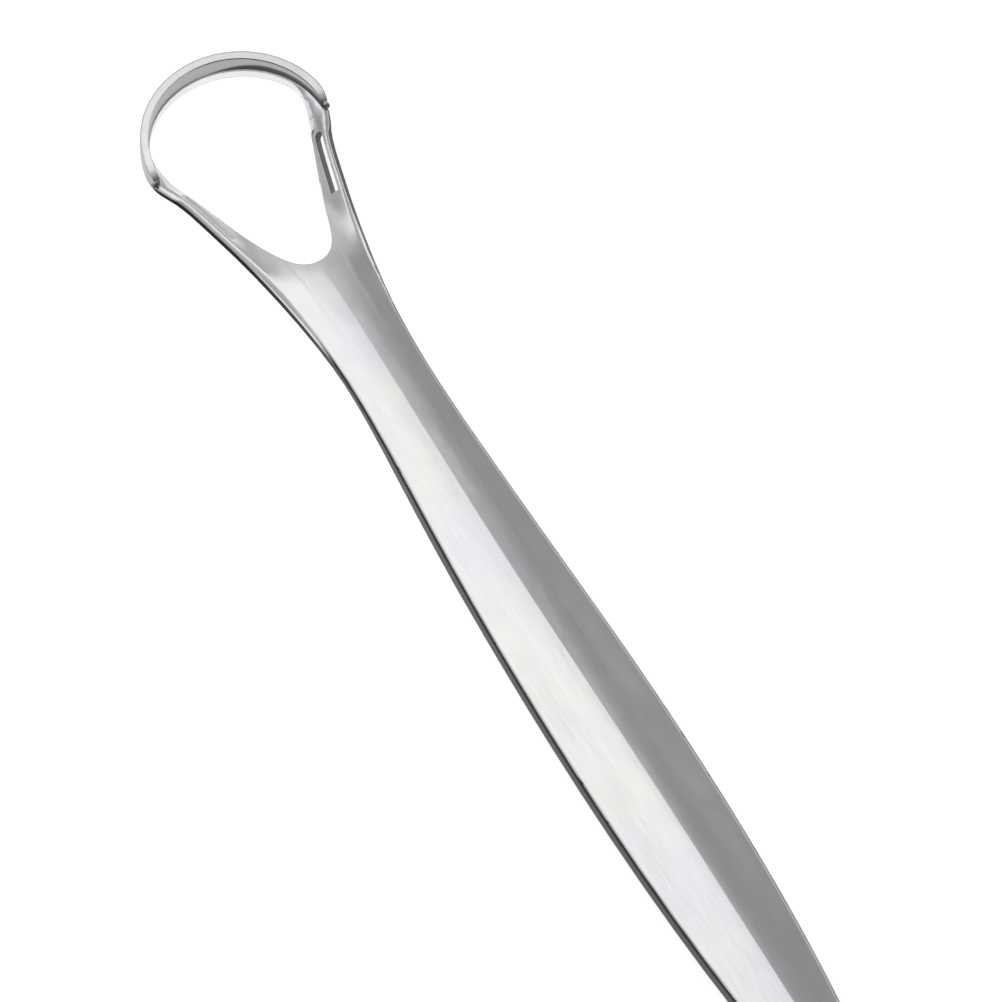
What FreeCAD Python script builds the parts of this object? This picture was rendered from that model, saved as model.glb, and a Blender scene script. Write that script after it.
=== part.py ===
# A steel tongue scraper: a pressed handle whose two slotted arms carry a round scraping loop.
# The head is at -X, the handle's end at +X, and the scraping edge and the handle's crest look up.
# The origin is under the middle of the object, on the surface that it lies on.

import FreeCAD, Part
import math
import os

# Driving dimensions, in millimetres
overall_length = 170.0
head_radius = 12.15
arm_spread = 23.0
sheet = 1.0
waist_width = 9.9
handle_width = 14.4
waist_place = 38.0
broad_place = 98.0
skirt_height = 2.0
head_rise = 2.75
shoulder_radius = 0.45
edge_lip = 0.15
rim_trim = 0.3
overrun = 5.0

# The handle's end
tip_run = 9.0
tip_reach = 4.0
tip_fullness = 3.2

# The loop's opening, seen from above, and the bar that closes it in front
bar_width = 1.15
bowl_width = 4.0
bowl_droop = 0.5
bowl_steps = 16
arm_plan_width = 3.7
arm_start = 1.5
arm_lean = 4.65
loop_corner = 3.0
crotch_place = 18.5
crotch_start = 14.0
crotch_reach = 3.0
crotch_round = 2.0

# Where each arm leaves the loop: the rounded corner of the outline
root_run = 2.4
root_fade = 4.2
root_step = 0.3

# The slot in each arm
slot_length = 8.8
slot_width = 1.15
slot_place = 6.5
slot_inset = 0.85
arm_slope = 0.95

# The scraping band
band_sheet = 1.0
band_foot = 0.7
band_rise = 1.95
band_end_rise = 0.25
band_fall = 4.5

# The welds that hold the band's two ends
weld_radius = 0.45
weld_inset = 0.2
weld_drop = 0.15

# The outline in shares: the curve of the arms and the swell of the handle
neck_curve_share = 1.75
swell_share = 0.75

# Sections along the neck, as shares of waist_place, then along the handle, as shares of what is left
neck_place_shares = (0.0, 0.03, 0.075, 0.12, 0.2, 0.34, 0.5, 0.7, 0.9)
handle_place_shares = (0.05, 0.13, 0.22, 0.34, 0.5, 0.62, 0.74, 0.86, 0.95, 1.0)
# How far the ridge stands above the edges, as a share of the half width
neck_ridge_shares = (-0.25, -0.24, -0.23, -0.22, -0.20, -0.19, -0.14, -0.02, 0.07)
handle_ridge_shares = (0.18, 0.20, 0.22, 0.25, 0.28, 0.28, 0.25, 0.21, 0.20, 0.20)
# How wide the ridge's round is, as a share of the half width
neck_round_shares = (0.30, 0.30, 0.30, 0.30, 0.30, 0.28, 0.26, 0.26, 0.26)
handle_round_shares = (0.26, 0.24, 0.22, 0.19, 0.15, 0.12, 0.11, 0.10, 0.10, 0.10)
# How far the valley beside the ridge dips below a straight flank, as a share of the half width
neck_dip_shares = (0.194, 0.197, 0.201, 0.206, 0.21, 0.192, 0.145, 0.08, 0.035)
handle_dip_shares = (0.01, 0.0, 0.0, 0.0, 0.0, 0.0, 0.0, 0.0, 0.0, 0.0)
# How much of head_rise the edges keep
neck_rise_shares = (1.0, 1.0, 1.0, 1.0, 1.0, 1.0, 1.0, 0.98, 0.88)
handle_rise_shares = (0.62, 0.34, 0.1, 0.0, 0.0, 0.0, 0.0, 0.0, 0.0, 0.0)
# How much of its full height the skirt has
neck_skirt_shares = (0.0, 0.0, 0.0, 0.0, 0.0, 0.0, 0.0, 0.0, 0.1)
# Where the loop's round front ends, as a share of the half circle
loop_round_share = 0.64
# Where the valley lies, as a share of the half width
valley_share = 0.70
handle_skirt_shares = (0.6, 1.0, 1.0, 1.0, 1.0, 1.0, 1.0, 1.0, 1.0, 1.0)

body_length = overall_length - head_radius
edge_level = skirt_height + head_rise


def point(u, y, z):
    """A point from its distance behind the loop's centre, its side and its height."""
    return FreeCAD.Vector(u + head_radius - overall_length / 2, y, z)


def line(start, end):
    return Part.makeLine(start, end)


def curve(*poles):
    bezier = Part.BezierCurve()
    bezier.setPoles(list(poles))
    return bezier.toShape()


def smooth(share):
    share = min(max(share, 0.0), 1.0)
    return share * share * (3 - 2 * share)


def half_width(u):
    """Half the blank's width: wide at the head, narrow at the waist, swelling along the handle."""
    waist = waist_width / 2
    broad = handle_width / 2
    if u < waist_place:
        root = (head_radius - arm_spread / 2) * (1 - smooth(u / root_fade))
        return waist + (arm_spread / 2 - waist) * (1 - u / waist_place) ** neck_curve_share + root
    if u < broad_place:
        way = (u - waist_place) / (broad_place - waist_place)
        return waist + (broad - waist) * smooth(way ** swell_share)
    tip = body_length - tip_run
    fall = (tip - broad_place) / math.sqrt(1 - (tip_reach / broad) ** 2)
    if u < tip:
        return broad * math.sqrt(1 - ((u - broad_place) / fall) ** 2)
    return tip_reach


def crown(width, ridge_share, round_share, rise_share, dip_share):
    """The poles of the top of half a section: the ridge, its flank, the valley and the edge."""
    edge = skirt_height + head_rise * rise_share
    ridge = edge + ridge_share * width
    reach = round_share * width
    valley = valley_share * width
    straight = ridge + (edge - ridge) * (valley - reach) / (width - reach)
    poles = [(0.0, ridge), (reach, ridge), (valley, straight - dip_share * width), (width, edge)]
    middle = ((poles[1][0] + poles[2][0]) / 2, (poles[1][1] + poles[2][1]) / 2)
    return [poles[0], poles[1], middle, poles[2], poles[3]]


def section(u, ridge_share, round_share, rise_share, dip_share, skirt_share):
    """One closed cross section of the pressed sheet, with its rounded shoulders and its skirts."""
    width = half_width(u)
    deep = sheet + edge_lip + (skirt_height + rim_trim - sheet - edge_lip) * skirt_share
    start, ridge, middle, valley, corner = crown(width, ridge_share, round_share, rise_share, dip_share)
    slope = math.atan2(corner[1] - valley[1], corner[0] - valley[0])
    lean = max(slope, 0.0)
    width = width - deep * math.sin(lean)
    start, ridge, middle, valley, corner = crown(width, ridge_share, round_share, rise_share, dip_share)
    flank = math.atan2(valley[1] - ridge[1], valley[0] - ridge[0])
    down = (math.sin(lean), -math.cos(lean))
    inward = (-math.cos(lean), -math.sin(lean))
    top = (corner[0] - shoulder_radius * math.cos(slope), corner[1] - shoulder_radius * math.sin(slope))
    side = (corner[0] + shoulder_radius * down[0], corner[1] + shoulder_radius * down[1])
    foot = (corner[0] + deep * down[0], corner[1] + deep * down[1])
    heel = (foot[0] + sheet * inward[0], foot[1] + sheet * inward[1])
    under = (heel[0] - (deep - sheet) * down[0], heel[1] - (deep - sheet) * down[1])
    under_ridge = (ridge[0] + sheet * math.tan(flank / 2), ridge[1] - sheet)
    turn = (flank + slope) / 2
    reach = sheet / math.cos((slope - flank) / 2)
    under_valley = (valley[0] + reach * math.sin(turn), valley[1] - reach * math.cos(turn))
    under_middle = ((under_ridge[0] + under_valley[0]) / 2, (under_ridge[1] + under_valley[1]) / 2)
    edges = []
    for sign in (1, -1):
        def at(spot):
            return point(u, sign * spot[0], spot[1])
        edges.append([
            curve(at(start), at(ridge), at(middle)),
            curve(at(middle), at(valley), at(top)),
            curve(at(top), at(corner), at(side)),
            line(at(side), at(foot)),
            line(at(foot), at(heel)),
            line(at(heel), at(under)),
            curve(at(under), at(under_valley), at(under_middle)),
            curve(at(under_middle), at(under_ridge), at((0.0, start[1] - sheet))),
        ])
    return Part.Wire(edges[0] + edges[1][::-1])


def prism(edges, bottom, top):
    """A solid from a closed outline that lies at height zero."""
    face = Part.Face(Part.Wire(Part.__sortEdges__(edges)))
    face.translate(FreeCAD.Vector(0, 0, bottom))
    return face.extrude(FreeCAD.Vector(0, 0, top - bottom))


def ring(outer, inner, bottom, top):
    """The front half of a ring about the loop's centre."""
    edges = []
    for radius in (outer, inner):
        edges.append(Part.Arc(point(0, -radius, 0), point(-radius, 0, 0), point(0, radius, 0)).toShape())
    for side in (-1, 1):
        edges.append(line(point(0, side * outer, 0), point(0, side * inner, 0)))
    return prism(edges, bottom, top)


def largest(shape):
    """The main solid that a cut leaves."""
    return max(shape.Solids, key=lambda solid: solid.Volume)


def tip_edges(inset):
    """The rounded outline of the handle's end, drawn in by inset."""
    start = body_length - tip_run
    end = body_length - inset
    side = tip_reach - inset
    edges = []
    for sign in (-1, 1):
        edges.append(curve(point(start, sign * side, 0), point(start + tip_fullness, sign * side, 0),
                           point(end, sign * side, 0), point(end, 0, 0)))
    return edges


def root_corner():
    """The three poles of the outline's rounded corner, from the loop's circle to the arm."""
    front = math.sqrt(head_radius ** 2 - root_run ** 2)
    rear = half_width(root_run)
    lead = root_run / front
    fall = (half_width(root_run + root_step) - rear) / root_step
    place = (rear - front - (fall + lead) * root_run) / (lead - fall)
    place = min(max(place, -root_run), root_run)
    return [(-root_run, front), (place, front + lead * (place + root_run)), (root_run, rear)]


def blank_outline():
    """What the blank's cutter keeps, seen from above: the round front, then past the sides to the tip."""
    wide = head_radius + overrun
    tip = body_length - tip_run
    corner = root_corner()
    front = corner[0][1]
    rear = corner[2][1]
    edges = [Part.Arc(point(-root_run, -front, 0), point(-head_radius, 0, 0), point(-root_run, front, 0)).toShape()]
    for side in (-1, 1):
        edges.append(curve(*[point(u, side * y, 0) for u, y in corner]))
        corners = [point(root_run, side * rear, 0), point(root_run, side * wide, 0), point(tip, side * wide, 0),
                   point(tip, side * tip_reach, 0)]
        edges += [line(a, b) for a, b in zip(corners, corners[1:])]
    return edges + tip_edges(0)


def loop_opening():
    """The loop's opening, seen from above: round in front, straight along the arms, round at the crotch."""
    radius = head_radius - bar_width
    turn = loop_round_share * math.pi / 2
    rear_side = half_width(crotch_start) - arm_plan_width
    front_side = rear_side + arm_lean
    run = math.hypot(crotch_start - arm_start, arm_lean)
    along = ((crotch_start - arm_start) / run, -arm_lean / run)
    edges = [Part.Arc(point(-radius * math.cos(turn), -radius * math.sin(turn), 0), point(-radius, 0, 0),
                      point(-radius * math.cos(turn), radius * math.sin(turn), 0)).toShape()]
    for side in (-1, 1):
        corner = [
            (-radius * math.cos(turn), radius * math.sin(turn)),
            (-radius * math.cos(turn) + loop_corner * math.sin(turn),
             radius * math.sin(turn) + loop_corner * math.cos(turn)),
            (arm_start - loop_corner * along[0], front_side - loop_corner * along[1]),
            (arm_start, front_side),
        ]
        crotch = [
            (crotch_start, rear_side),
            (crotch_start + crotch_reach * along[0], rear_side + crotch_reach * along[1]),
            (crotch_place, crotch_round),
            (crotch_place, 0),
        ]
        edges.append(curve(*[point(u, side * y, 0) for u, y in corner]))
        edges.append(line(point(arm_start, side * front_side, 0), point(crotch_start, side * rear_side, 0)))
        edges.append(curve(*[point(u, side * y, 0) for u, y in crotch]))
    return edges


def arm_slot(side):
    """The cutter for one arm's slot, square to the arm's tilted sheet."""
    place = slot_place
    step = slot_width
    slope = (half_width(place + step) - half_width(place - step)) / (2 * step)
    along = FreeCAD.Vector(1, side * slope, 0).normalize()
    tilt = math.atan(arm_slope)
    out = FreeCAD.Vector(-along.y * side * math.cos(tilt), along.x * side * math.cos(tilt), math.sin(tilt))
    normal = along.cross(out) * side
    corner = half_width(place) - (sheet + edge_lip) * math.sin(tilt)
    middle = point(place, side * (corner - slot_inset), edge_level - slot_inset * math.tan(tilt))
    front = middle - along * (slot_length / 2 - slot_width / 2)
    rear = middle + along * (slot_length / 2)
    half = out * (slot_width / 2)
    edges = [line(front - half, rear - half), line(rear - half, rear + half), line(rear + half, front + half),
             Part.Arc(front + half, front - along * (slot_width / 2), front - half).toShape()]
    face = Part.Face(Part.Wire(Part.__sortEdges__(edges)))
    face.translate(normal * (-overrun / 4))
    return face.extrude(normal * (overrun / 2))


def pressed_sheet():
    """The blank as the press leaves it: a trough at the head, a crested shell along the handle."""
    neck = zip(neck_place_shares, neck_ridge_shares, neck_round_shares, neck_rise_shares, neck_dip_shares,
               neck_skirt_shares)
    back = zip(handle_place_shares, handle_ridge_shares, handle_round_shares, handle_rise_shares, handle_dip_shares,
               handle_skirt_shares)
    sections = [section(share * waist_place, *shares) for share, *shares in neck]
    sections += [section(waist_place + share * (body_length - waist_place), *shares) for share, *shares in back]
    return Part.makeLoft(sections, True, False)


def end_wall():
    """The skirt that closes the handle's rounded end, up into the sheet above it."""
    sections = []
    for k in range(-4, 0):
        u = waist_place + handle_place_shares[k] * (body_length - waist_place)
        width = half_width(u)
        poles = crown(width, handle_ridge_shares[k], handle_round_shares[k], handle_rise_shares[k],
                      handle_dip_shares[k])
        half = [[point(u, sign * y, z - sheet / 2) for y, z in poles] for sign in (1, -1)]
        base = [point(u, width, 0), point(u, -width, 0)]
        sections.append(Part.Wire([
            curve(half[0][4], half[0][3], half[0][2]), curve(half[0][2], half[0][1], half[0][0]),
            curve(half[1][0], half[1][1], half[1][2]), curve(half[1][2], half[1][3], half[1][4]),
            line(half[1][4], base[1]), line(base[1], base[0]), line(base[0], half[0][4]),
        ]))
    filled = Part.makeLoft(sections, True, False)
    start = body_length - tip_run
    across = []
    for side in (-1, 1):
        across.append(line(point(start, side * tip_reach, 0), point(start, side * (tip_reach - sheet), 0)))
    band = prism(tip_edges(0) + tip_edges(sheet) + across, 0, edge_level)
    return band.common(filled)


def carried_round(rim):
    """A closed outline carried round the loop's front, from one arm to the other, drooping in the middle."""
    sections = []
    for step in range(bowl_steps + 1):
        turn = step / bowl_steps * math.pi
        place = rim.copy().rotate(point(0, 0, 0), FreeCAD.Vector(0, 0, 1), math.degrees(turn))
        sections.append(place.translate(FreeCAD.Vector(0, 0, -bowl_droop * math.sin(turn) ** 2)))
    return Part.makeLoft(sections, True, False)


def front_bowl():
    """The sheet of the loop's round front, with the section that the arms begin with."""
    profile = Part.Face(section(0, neck_ridge_shares[0], neck_round_shares[0], neck_rise_shares[0],
                                neck_dip_shares[0], neck_skirt_shares[0]))
    deep = 2 * head_radius
    side = Part.makeBox(deep, bowl_width + overrun, deep, point(-head_radius, head_radius - bowl_width, -head_radius))
    return carried_round(profile.common(side).Faces[0].OuterWire)


def handle():
    """The pressed handle with its arms and the bar that joins them in front."""
    body = pressed_sheet().fuse([front_bowl()]).common(prism(blank_outline(), 0, head_radius))
    body = body.cut(prism(loop_opening(), 0, head_radius))
    body = body.fuse([end_wall()])
    for side in (-1, 1):
        body = body.cut(arm_slot(side))
    return body.removeSplitter()


def scraping_band(seat):
    """The upright band round the loop's front, its ends falling to a point on the arms."""
    top = edge_level + band_rise
    end = edge_level + band_end_rise
    strip = ring(head_radius, head_radius - band_sheet, 0, top)
    front = -head_radius - overrun
    edges = [line(point(front, 0, 0), point(front, 0, top)), line(point(front, 0, top), point(-band_fall, 0, top)),
             curve(point(-band_fall, 0, top), point(0, 0, top), point(0, 0, end)),
             line(point(0, 0, end), point(0, 0, 0)), line(point(0, 0, 0), point(front, 0, 0))]
    side_view = Part.Face(Part.Wire(Part.__sortEdges__(edges)))
    side_view.translate(FreeCAD.Vector(0, -head_radius - overrun, 0))
    keep = side_view.extrude(FreeCAD.Vector(0, 2 * (head_radius + overrun), 0))
    inner = head_radius - bowl_width
    outer = head_radius + overrun
    foot = edge_level - band_foot
    corners = [point(0, inner, -overrun), point(0, outer, -overrun), point(0, outer, foot), point(0, inner, foot)]
    below = carried_round(Part.makePolygon(corners + corners[:1]))
    return largest(strip.common([keep]).common(prism(blank_outline(), 0, head_radius)).cut([seat, below]))


def end_weld(side, seats):
    """The weld bead in the corner where one end of the band meets its arm."""
    corner = root_corner()
    u, y = [(corner[0][k] + 2 * corner[1][k] + corner[2][k]) / 4 for k in (0, 1)]
    bead = Part.makeSphere(weld_radius, point(u, side * (y - weld_inset), edge_level - weld_drop))
    return largest(bead.cut(seats))


blank = handle()
band = scraping_band(blank)
nodes = {
    "handle": blank,
    "scraping_band": band,
    "left_end_weld": end_weld(-1, [blank, band]),
    "right_end_weld": end_weld(1, [blank, band]),
}
os.makedirs("parts", exist_ok=True)
for name, shape in nodes.items():
    print(name, shape.isValid(), len(shape.Solids), round(shape.Volume, 2), shape.BoundBox)
    shape.exportStep("parts/" + name + ".step")
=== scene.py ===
# A steel tongue scraper lying on a white sheet, seen from above the handle's left side.

import math
import bpy
from mathutils import Matrix, Vector
from mathutils.kdtree import KDTree


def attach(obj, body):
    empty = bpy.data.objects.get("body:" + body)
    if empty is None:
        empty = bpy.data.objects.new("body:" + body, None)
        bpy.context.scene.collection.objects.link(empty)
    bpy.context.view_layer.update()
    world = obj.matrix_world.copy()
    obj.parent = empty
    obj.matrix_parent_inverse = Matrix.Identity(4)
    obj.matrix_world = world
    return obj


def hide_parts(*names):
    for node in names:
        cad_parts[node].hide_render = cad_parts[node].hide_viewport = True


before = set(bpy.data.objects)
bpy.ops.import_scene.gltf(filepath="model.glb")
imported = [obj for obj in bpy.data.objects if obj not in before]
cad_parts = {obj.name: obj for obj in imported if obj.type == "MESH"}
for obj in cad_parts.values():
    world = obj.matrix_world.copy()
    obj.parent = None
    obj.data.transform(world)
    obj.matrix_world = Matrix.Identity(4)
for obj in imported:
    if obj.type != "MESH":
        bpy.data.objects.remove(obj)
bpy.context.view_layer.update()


# The camera
# It looks down the handle from above its left side, from far enough away that nothing tapers. The
# loop lies in the picture's upper left corner and the handle runs out of its lower edge.
view_azimuth = math.radians(61.1)
view_elevation = math.radians(58.05)
view_width = 0.1204
view_distance = 0.6
loop_middle = Vector((-0.073, 0.0, 0.0045))
right_of_loop = 0.0313
below_loop = 0.0427

backward = Vector((math.sin(view_azimuth) * math.cos(view_elevation),
                   -math.cos(view_azimuth) * math.cos(view_elevation), math.sin(view_elevation)))
across = Vector((math.cos(view_azimuth), math.sin(view_azimuth), 0.0))
upward = backward.cross(across)
centre = loop_middle + across * right_of_loop - upward * below_loop

camera_data = bpy.data.cameras.new("camera")
camera_data.type = "ORTHO"
camera_data.ortho_scale = view_width
camera = bpy.data.objects.new("camera", camera_data)
camera.location = centre + backward * view_distance
camera.rotation_euler = backward.to_track_quat("Z", "Y").to_euler()
bpy.context.scene.collection.objects.link(camera)
bpy.context.scene.camera = camera
bpy.context.scene.view_settings.view_transform = "Standard"


# The white sheet
# A large matt white sheet that the scraper lies on. It glows a little for the camera and for the
# steel, so that it shows as white, and it keeps the scraper's soft shadow.
sheet_side = 3.0
sheet_colour = (0.86, 0.86, 0.86, 1)
sheet_roughness = 0.9
sheet_gloss = 0.2
glow_colour = (1, 1, 1, 1)
sheet_glow = 0.70


class Finish:
    """A material with its shader, and short ways to add and join the nodes that feed it."""

    def __init__(self, name, roughness, metallic=0.0):
        self.material = bpy.data.materials.new(name)
        self.material.use_nodes = True
        self.tree = self.material.node_tree
        self.shader = self.tree.nodes["Principled BSDF"]
        self.shader.inputs["Roughness"].default_value = roughness
        self.shader.inputs["Metallic"].default_value = metallic

    def feed(self, socket, value):
        """Join a socket to another node's output, or set it to a plain value."""
        if isinstance(value, bpy.types.NodeSocket):
            self.tree.links.new(value, socket)
        else:
            socket.default_value = value

    def sum(self, operation, *values):
        """One step of arithmetic on numbers or on other nodes' outputs."""
        node = self.tree.nodes.new("ShaderNodeMath")
        node.operation = operation
        for socket, value in zip(node.inputs, values):
            self.feed(socket, value)
        return node.outputs[0]


white_paper = Finish("white_paper", sheet_roughness)
white_paper.shader.inputs["Base Color"].default_value = sheet_colour
white_paper.shader.inputs["Specular IOR Level"].default_value = sheet_gloss
white_paper.shader.inputs["Emission Color"].default_value = glow_colour
ray = white_paper.tree.nodes.new("ShaderNodeLightPath")
seen = white_paper.sum("MAXIMUM", ray.outputs["Is Camera Ray"], ray.outputs["Is Glossy Ray"])
seen = white_paper.sum("MAXIMUM", seen, ray.outputs["Is Transmission Ray"])
glow = white_paper.sum("MULTIPLY", seen, sheet_glow)
white_paper.feed(white_paper.shader.inputs["Emission Strength"], glow)

sheet_mesh = bpy.data.meshes.new("white_sheet")
half = sheet_side / 2
corners = [(-half, -half, 0), (half, -half, 0), (half, half, 0), (-half, half, 0)]
sheet_mesh.from_pydata(corners, [], [(0, 1, 2, 3)])
sheet_mesh.materials.append(white_paper.material)
white_sheet = bpy.data.objects.new("white_sheet", sheet_mesh)
bpy.context.scene.collection.objects.link(white_sheet)


# The studio light
# A grey room, darker towards its floor, with one large soft box over the handle, a bright wall on
# each side and two ahead of the loop. Each lamp is listed as its middle, its width and height, the
# place that it faces, and how bright its face looks.
lamps = {
    "top_box": ((-0.17, -0.035, 0.30), (0.34, 0.25), (-0.17, -0.035, 0.0), 0.89),
    "left_wall": ((-0.35, -0.45, 0.47), (0.60, 0.74), (-0.10, 0.0, 0.30), 0.36),
    "right_wall": ((-0.20, 0.35, 0.10), (0.50, 0.19), (-0.20, 0.0, 0.10), 0.50),
    "front_wall": ((-0.60, -0.06, 0.33), (0.30, 0.34), (-0.07, 0.0, 0.0), 0.50),
    "corner_wall": ((-0.60, 0.27, 0.26), (0.34, 0.34), (-0.07, 0.0, 0.0), 0.52),
}
room_low = 0.170
room_high = 0.33
room_rise = (0.35, 0.85)

for name, (middle, (width, height), toward, radiance) in lamps.items():
    lamp = bpy.data.lights.new(name, "AREA")
    lamp.shape = "RECTANGLE"
    lamp.size = width
    lamp.size_y = height
    lamp.energy = radiance * math.pi * width * height
    box = bpy.data.objects.new(name, lamp)
    box.location = middle
    box.rotation_euler = (Vector(middle) - Vector(toward)).to_track_quat("Z", "Y").to_euler()
    box.visible_camera = False
    bpy.context.scene.collection.objects.link(box)

studio = bpy.data.worlds.new("studio")
studio.use_nodes = True
room = studio.node_tree
facing = room.nodes.new("ShaderNodeTexCoord")
split = room.nodes.new("ShaderNodeSeparateXYZ")
rise = room.nodes.new("ShaderNodeMapRange")
rise.interpolation_type = "SMOOTHSTEP"
rise.inputs["From Min"].default_value, rise.inputs["From Max"].default_value = room_rise
rise.inputs["To Min"].default_value = room_low
rise.inputs["To Max"].default_value = room_high
room.links.new(facing.outputs["Generated"], split.inputs[0])
room.links.new(split.outputs["Z"], rise.inputs["Value"])
room.links.new(rise.outputs["Result"], room.nodes["Background"].inputs["Color"])
bpy.context.scene.world = studio


# The handle
# One blank of stainless steel sheet, pressed to a crested hollow shell and polished satin. The
# neck is drawn up into a soft crest. The outward edges are a little rough and painted dark, as
# painted shade standing in for the dark reflection they catch; a line along their upper corner is
# left unpainted and keeps its highlight. The right slot's walls are painted dark as shade too.
loop_centre = -0.07285
waist_place = 0.038
waist_half = 0.00495
arm_half = 0.0115
neck_curve_share = 1.75
sheet_depth = 0.00115
slot_place = 0.0065

# The neck's sections: how far each lies behind the loop's centre and, as shares of half the width
# there, the ridge's height, the run of its round top, and the dip beside the edge. The crest's
# heights are those that the press draws the ridge up to.
neck_places = (0.0, 0.0019, 0.0046, 0.0076, 0.0129, 0.019, 0.0266, 0.0342, 0.0440)
ridge_shares = (-0.23, -0.22, -0.21, -0.20, -0.19, -0.14, -0.02, 0.07, 0.18)
round_shares = (0.30, 0.30, 0.30, 0.30, 0.28, 0.26, 0.26, 0.26, 0.26)
dip_shares = (0.197, 0.2, 0.206, 0.21, 0.192, 0.145, 0.08, 0.035, 0.01)
crest_shares = (0.10, 0.10, 0.10, 0.10, 0.10, 0.12, 0.15, 0.17, 0.18)
crest_round_share = 0.30
valley_share = 0.70
crest_start = (0.009, 0.021)
crotch_shift_share = 0.42
crotch_fade = (0.020, 0.030)
straight_bend = 1e-9
gauge_step = 0.00001

# Where each arm meets the loop, the facing of the surface is blended over a short run.
blend_run = 0.0028
blend_reach = 0.0009
blend_facing = 0.6

# The faces that may take the edges' painted shade, and those beside the right slot that may take
# the slot's painted shade, by their distance in from the neck's outline.
edge_inset = 0.00045
slot_run = 0.0104
slot_inset = (0.0006, 0.0029)

cool_steel = (0.755, 0.765, 0.785, 1)
warm_steel = (0.795, 0.785, 0.77, 1)
worn_steel = (0.86, 0.86, 0.86, 1)
# Painted shade for the sheared edges, lighter on the right, and for the right slot's walls; the darkest
# is also the welds' speckle.
edge_shade_and_weld_speckle = (0.05, 0.05, 0.052, 1)
lighter_edge_shade = (0.11, 0.11, 0.115, 1)
painted_slot_shade = (0.10, 0.10, 0.10, 1)
satin_roughness = (0.31, 0.37)
sheared_roughness = 0.45
fine_detail = 3.0
grain_scale = (200.0, 6000.0, 6000.0)
grain_range = (0.3, 0.7)
grain_height = 0.0000004
cloud_scale = 110.0
cloud_range = (0.35, 0.65)
tear_scale = (500.0, 5000.0, 5000.0)
tear_range = (0.45, 0.8)
tear_share = 0.35
rim_radius = 0.00016
rim_samples = 4
rim_bend = (0.995, 0.90)
rim_level = 0.00475
worn_share = 0.5
shade_line_depth = (0.00044, 0.00056)
right_extra = 0.00042
side_blur = 0.001
full_edge_shade_place = (-0.045, -0.040)
edge_facing = (0.50, 0.66)
wall_facing = (0.70, 0.63)


class Steel(Finish):
    """Satin steel: a cloudy tint, a polish that runs one way, and rims that are worn bright."""

    def __init__(self, name, roughness):
        super().__init__(name, roughness, 1.0)
        self.geometry = self.tree.nodes.new("ShaderNodeNewGeometry")

    def part(self, output, axis):
        """One axis of the surface's place or of its normal."""
        node = self.tree.nodes.new("ShaderNodeSeparateXYZ")
        self.feed(node.inputs[0], self.geometry.outputs[output])
        return node.outputs[axis]

    def mark(self, name):
        """A number that the mesh carries on each face."""
        node = self.tree.nodes.new("ShaderNodeAttribute")
        node.attribute_name = name
        return node.outputs["Fac"]

    def ramp(self, value, low, high, to_low=0.0, to_high=1.0):
        """A soft step from one value to another."""
        node = self.tree.nodes.new("ShaderNodeMapRange")
        node.interpolation_type = "SMOOTHSTEP"
        for socket, number in zip(("Value", "From Min", "From Max", "To Min", "To Max"),
                                  (value, low, high, to_low, to_high)):
            self.feed(node.inputs[socket], number)
        return node.outputs["Result"]

    def mix(self, share, first, second):
        """One colour over another."""
        node = self.tree.nodes.new("ShaderNodeMix")
        node.data_type = "RGBA"
        for socket, value in zip(("Factor", "A", "B"), (share, first, second)):
            self.feed([s for s in node.inputs if s.name == socket and s.enabled][0], value)
        return [s for s in node.outputs if s.enabled][0]

    def noise(self, scale, detail=2.0, stretch=(1.0, 1.0, 1.0)):
        """Noise over the piece's own place, drawn out by the stretch."""
        mapping = self.tree.nodes.new("ShaderNodeMapping")
        mapping.inputs["Scale"].default_value = stretch
        self.feed(mapping.inputs["Vector"], self.geometry.outputs["Position"])
        node = self.tree.nodes.new("ShaderNodeTexNoise")
        node.inputs["Scale"].default_value = scale
        node.inputs["Detail"].default_value = detail
        self.feed(node.inputs["Vector"], mapping.outputs[0])
        return node.outputs["Fac"]

    def polish(self, grain, height, radius):
        """Round the rims for the light, cut the grain of the polish, and say where the rims are."""
        rounded = self.tree.nodes.new("ShaderNodeBevel")
        rounded.samples = rim_samples
        rounded.inputs["Radius"].default_value = radius
        bump = self.tree.nodes.new("ShaderNodeBump")
        bump.inputs["Distance"].default_value = height
        self.feed(bump.inputs["Height"], grain)
        self.feed(bump.inputs["Normal"], rounded.outputs[0])
        self.feed(self.shader.inputs["Normal"], bump.outputs[0])
        turned = self.tree.nodes.new("ShaderNodeVectorMath")
        turned.operation = "DOT_PRODUCT"
        self.feed(turned.inputs[0], rounded.outputs[0])
        self.feed(turned.inputs[1], self.geometry.outputs["Normal"])
        return self.ramp(turned.outputs["Value"], *rim_bend)


def smooth(share):
    """A soft step from 0 to 1."""
    share = min(max(share, 0.0), 1.0)
    return share * share * (3 - 2 * share)


def half_width(u):
    """Half the neck's width, at a distance behind the loop's centre."""
    return waist_half + (arm_half - waist_half) * max(1 - u / waist_place, 0.0) ** neck_curve_share


def at_place(u, shares):
    """A share of the neck's sections at a distance behind the loop's centre."""
    for k in range(1, len(neck_places)):
        if u <= neck_places[k]:
            way = (u - neck_places[k - 1]) / (neck_places[k] - neck_places[k - 1])
            return shares[k - 1] + (shares[k] - shares[k - 1]) * smooth(way)
    return shares[-1]


def bow(aside, start, middle, end):
    """The height, at one distance from the middle plane, of a curve drawn through three poles."""
    bend = start[0] - 2 * middle[0] + end[0]
    lead = middle[0] - start[0]
    rest = start[0] - aside
    if abs(bend) < straight_bend:
        way = -rest / (2 * lead)
    else:
        way = (math.sqrt(max(lead * lead - bend * rest, 0.0)) - lead) / bend
    return start[1] + way * (2 * (middle[1] - start[1]) + way * (start[1] - 2 * middle[1] + end[1]))


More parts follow.
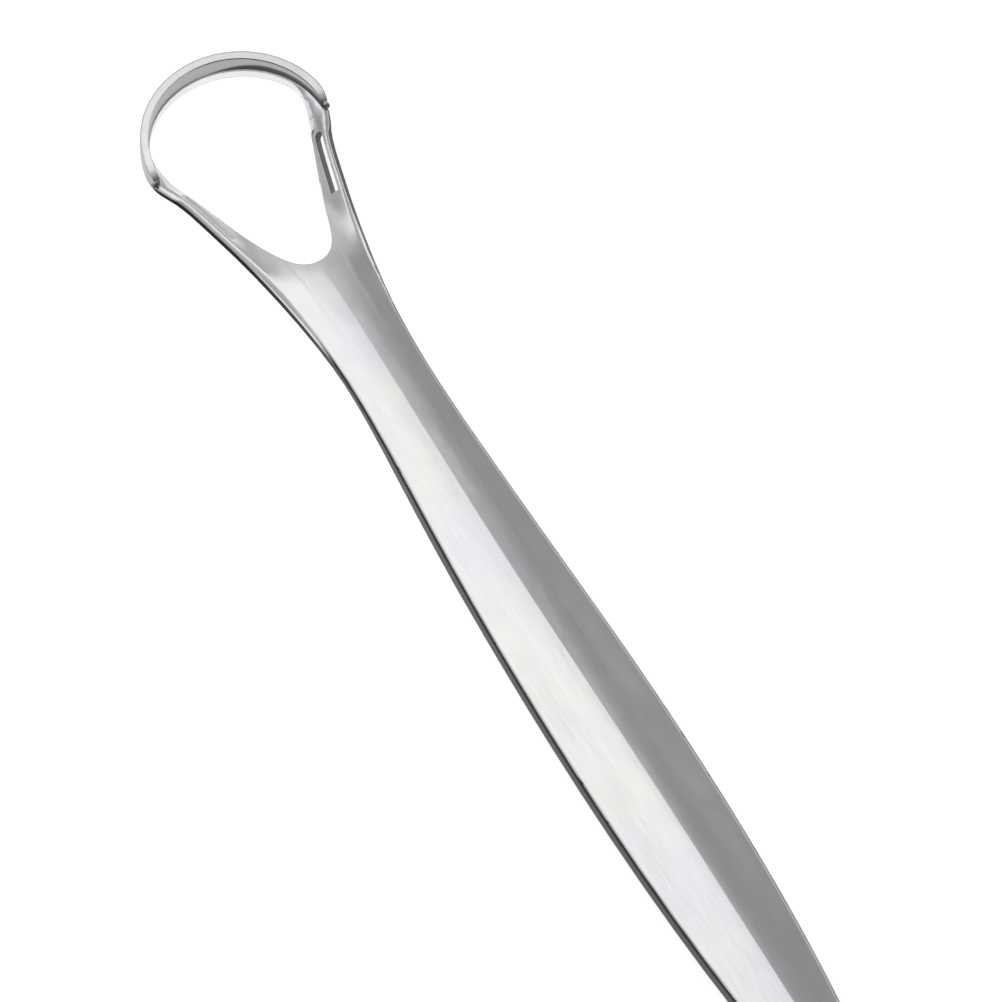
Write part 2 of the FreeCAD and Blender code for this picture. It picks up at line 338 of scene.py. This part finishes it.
def crown(u, aside, ridge_share, round_share, dip_share):
    """The height of a section's top above its edges, at one distance from the middle plane."""
    width = half_width(u)
    fall_share = ridge_share * (1 - valley_share) / (1 - round_share)
    edge_slope = max((dip_share - fall_share) / (1 - valley_share), 0.0)
    width -= sheet_depth * math.sin(math.atan(edge_slope))
    aside = min(aside, width)
    ridge = ridge_share * width
    reach = round_share * width
    valley = (valley_share * width, (fall_share - dip_share) * width)
    middle = ((reach + valley[0]) / 2, (ridge + valley[1]) / 2)
    if aside < middle[0]:
        return bow(aside, (0.0, ridge), (reach, ridge), middle)
    return bow(aside, middle, valley, (width, 0.0))


def drawn_up(x, y):
    """How far the press lifts the neck at one place, and how far it draws it back."""
    u = min(max(x - loop_centre, 0.0), neck_places[-1])
    shares = (at_place(u, ridge_shares), at_place(u, round_shares), at_place(u, dip_shares))
    made = crown(u, abs(y), *shares)
    crested = crown(u, abs(y), at_place(u, crest_shares), crest_round_share, 0.0)
    front, full = crest_start
    lift = smooth((u - front) / (full - front)) * (crested - made)
    early, late = crotch_fade
    return lift, crotch_shift_share * lift * (1 - smooth((u - early) / (late - early)))


def slope(x, y):
    """How the pressing bends the surface at one place, as a matrix."""
    here = drawn_up(x, y)
    along = [(b - a) / gauge_step for a, b in zip(here, drawn_up(x + gauge_step, y))]
    aside = [(b - a) / gauge_step for a, b in zip(here, drawn_up(x, y + gauge_step))]
    return Matrix(((1 + along[1], aside[1], 0), (0, 1, 0), (along[0], aside[0], 1)))


def corner_place(k):
    """Where one corner of a face lies."""
    return pressed.vertices[pressed.loops[k].vertex_index].co


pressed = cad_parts["handle"].data.copy()
pressed.name = "pressed_handle"
normals = []
for k, normal in enumerate(pressed.corner_normals):
    spot = corner_place(k)
    normals.append((slope(spot.x, spot.y).inverted().transposed() @ normal.vector).normalized())
for vertex in pressed.vertices:
    lift, back = drawn_up(vertex.co.x, vertex.co.y)
    vertex.co += Vector((back, 0.0, lift))

near = [k for k in range(len(pressed.loops)) if abs(corner_place(k).x - loop_centre) < blend_run]
neighbours = KDTree(len(near))
for k in near:
    neighbours.insert(corner_place(k), k)
neighbours.balance()
blended = {}
for k in near:
    total = Vector((0.0, 0.0, 0.0))
    for spot, other, gap in neighbours.find_range(corner_place(k), blend_reach):
        if normals[k].dot(normals[other]) > blend_facing:
            total += normals[other] * (1 - gap / blend_reach)
    blended[k] = total.normalized() if total.length > 0 else normals[k]
for k, normal in blended.items():
    normals[k] = normal
pressed.normals_split_custom_set(normals)

rim = pressed.attributes.new("rim", "FLOAT", "FACE")
slot_shade_faces = pressed.attributes.new("slot_shade_faces", "FLOAT", "FACE")
for face in pressed.polygons:
    u = face.center.x - loop_centre
    inset = half_width(max(u, 0.0)) - abs(face.center.y)
    rim.data[face.index].value = float(u > waist_place or inset < edge_inset)
    beside = abs(u - slot_place) < slot_run / 2 and slot_inset[0] < inset < slot_inset[1]
    slot_shade_faces.data[face.index].value = float(beside and face.center.y > 0)

satin = Steel("satin_steel", satin_roughness[0])
grain = satin.noise(1.0, fine_detail, grain_scale)
cloud = satin.noise(cloud_scale)
worn = satin.polish(grain, grain_height, rim_radius)
tint = satin.mix(satin.ramp(cloud, *cloud_range), cool_steel, warm_steel)
tint = satin.mix(satin.sum("MULTIPLY", worn, worn_share), tint, worn_steel)

# Painted shade on the sheared edges: faces that look outward are painted dark below the unpainted
# line along their upper corner, which is narrower on the right. Down the handle the whole edge is
# painted dark. The right side is painted a lighter dark, streaked at random.
outward = satin.sum("MULTIPLY", satin.part("Normal", "Y"), satin.sum("SIGN", satin.part("Position", "Y")))
cut = satin.ramp(outward, *edge_facing)
right = satin.ramp(satin.part("Position", "Y"), -side_blur, side_blur)
depth = satin.sum("SUBTRACT", rim_level, satin.part("Position", "Z"))
depth = satin.sum("ADD", depth, satin.sum("MULTIPLY", right, right_extra))
full_edge_shade = satin.ramp(satin.part("Position", "X"), *full_edge_shade_place)
low = satin.sum("MAXIMUM", satin.ramp(depth, *shade_line_depth), full_edge_shade)
edge_shade_mask = satin.sum("MULTIPLY", satin.sum("MULTIPLY", cut, satin.mark("rim")), low)
tears = satin.noise(1.0, fine_detail, tear_scale)
edge_shade_colour = satin.mix(right, edge_shade_and_weld_speckle, lighter_edge_shade)
edge_shade_colour = satin.mix(satin.ramp(tears, *tear_range, 0.0, tear_share), edge_shade_colour, lighter_edge_shade)
tint = satin.mix(edge_shade_mask, tint, edge_shade_colour)

# Painted shade: the right slot's walls are painted dark.
steep = satin.ramp(satin.part("Normal", "Z"), *wall_facing)
slot_shade = satin.sum("MULTIPLY", satin.sum("MAXIMUM", cut, steep), satin.mark("slot_shade_faces"))
tint = satin.mix(slot_shade, tint, painted_slot_shade)
satin.feed(satin.shader.inputs["Base Color"], tint)
satin.feed(satin.shader.inputs["Roughness"],
           satin.sum("MAXIMUM", satin.ramp(grain, *grain_range, *satin_roughness),
                     satin.sum("MULTIPLY", edge_shade_mask, sheared_roughness)))
pressed.materials.clear()
pressed.materials.append(satin.material)
pressed_handle = bpy.data.objects.new("pressed_handle", pressed)
bpy.context.scene.collection.objects.link(pressed_handle)
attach(pressed_handle, "root")
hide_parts("handle")


# The scraping band
# A thin strip of the same steel bent round the front of the loop and joined to it by its lower
# edge. Its faces are painted darker than the handle, as painted shade for the dimmer reflection
# they catch. Its free edge is rounded over and painted near white as a highlight, with a painted
# shade line along its outer side and a painted dark line under it, and painted shade darkens the
# seam at its foot, more so at the right end.
# The band's face colour is painted shade, darker than the handle's steel.
shaded_band_face = (0.37, 0.372, 0.378, 1)
painted_edge_highlight = (0.96, 0.96, 0.96, 1)
painted_outer_shade = (0.66, 0.66, 0.67, 1)
painted_dark_lines = (0.05, 0.048, 0.046, 1)
band_roughness = (0.30, 0.40)
band_grain_scale = (900.0, 900.0, 12000.0)
band_radius = 0.01215
band_level = 0.0067
inner_reach = 0.0114
inner_blur = 0.0001
end_drop = 0.0017
end_run = 0.0045
foot_level = 0.00405
foot_droop = 0.0005
seam_height = (0.00035, 0.00160)
seam_run = 0.008
seam_blur = 0.00025
line_height = 0.00030
line_run = 0.002
left_line_share = 0.25
outer_line = 0.00022
solid_share = 0.5
free_edge_facing = (0.5, 0.9)

strip = Steel("band_steel", band_roughness[0])


def squared(value):
    """A number times itself, in the band's shader."""
    return strip.sum("MULTIPLY", value, value)


grain = strip.noise(1.0, fine_detail, band_grain_scale)
strip.polish(grain, grain_height, rim_radius)
behind = strip.sum("ADD", strip.part("Position", "X"), -loop_centre)
aside = strip.part("Position", "Y")
level = strip.part("Position", "Z")
reach = strip.sum("SQRT", strip.sum("ADD", squared(behind), squared(aside)))
inner = strip.ramp(reach, inner_reach, inner_reach - inner_blur)

# The painted shade along the seam, which follows the foot's droop at the front and grows towards
# the right.
droop = strip.sum("MULTIPLY", foot_droop, squared(strip.sum("DIVIDE", behind, band_radius)))
above = strip.sum("SUBTRACT", level, strip.sum("SUBTRACT", foot_level, droop))
seam_shade = strip.ramp(aside, 0.0, seam_run, *seam_height)
seam_shade = strip.ramp(strip.sum("SUBTRACT", above, seam_shade), seam_blur, -seam_blur)

# The painted dark line under the free edge, standing in for its dark reflection, which falls with
# the band's ends and fades on the left.
fall = strip.sum("DIVIDE", behind, -end_run)
fall = strip.sum("MINIMUM", strip.sum("MAXIMUM", fall, 0.0), 1.0)
fall = strip.sum("SUBTRACT", 1.0, strip.sum("SQRT", fall))
top = strip.sum("SUBTRACT", band_level, strip.sum("MULTIPLY", end_drop, squared(fall)))
under_edge_shade = strip.ramp(strip.sum("SUBTRACT", top, level), line_height, line_height * solid_share)
under_edge_shade = strip.sum("MULTIPLY", under_edge_shade, strip.ramp(aside, -line_run, line_run, left_line_share, 1.0))

painted_lines = strip.sum("MULTIPLY", strip.sum("MAXIMUM", seam_shade, under_edge_shade), inner)
# The free edge's upward faces take a painted highlight, with a painted shade line along its outer side.
highlight_edge_mask = strip.ramp(strip.part("Normal", "Z"), *free_edge_facing)
painted_lines = strip.sum("MULTIPLY", painted_lines, strip.sum("SUBTRACT", 1.0, highlight_edge_mask))
outer_shade_mask = strip.ramp(reach, band_radius - outer_line, band_radius - outer_line * solid_share)
face = strip.mix(highlight_edge_mask, shaded_band_face, strip.mix(outer_shade_mask, painted_edge_highlight, painted_outer_shade))
strip.feed(strip.shader.inputs["Base Color"], strip.mix(painted_lines, face, painted_dark_lines))
strip.feed(strip.shader.inputs["Roughness"], strip.ramp(grain, *grain_range, *band_roughness))
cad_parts["scraping_band"].data.materials[0] = strip.material


# The end welds
# One small bead of weld metal in each corner where the band's end meets its arm, coloured dark
# with darker speckles.
weld_colour = (0.30, 0.29, 0.28, 1)
weld_roughness = 0.42
speckle_scale = 2600.0

bead = Steel("weld_steel", weld_roughness)
speckle = bead.ramp(bead.noise(speckle_scale), *cloud_range)
bead.feed(bead.shader.inputs["Base Color"], bead.mix(speckle, weld_colour, edge_shade_and_weld_speckle))
for name in ("left_end_weld", "right_end_weld"):
    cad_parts[name].data.materials[0] = bead.material
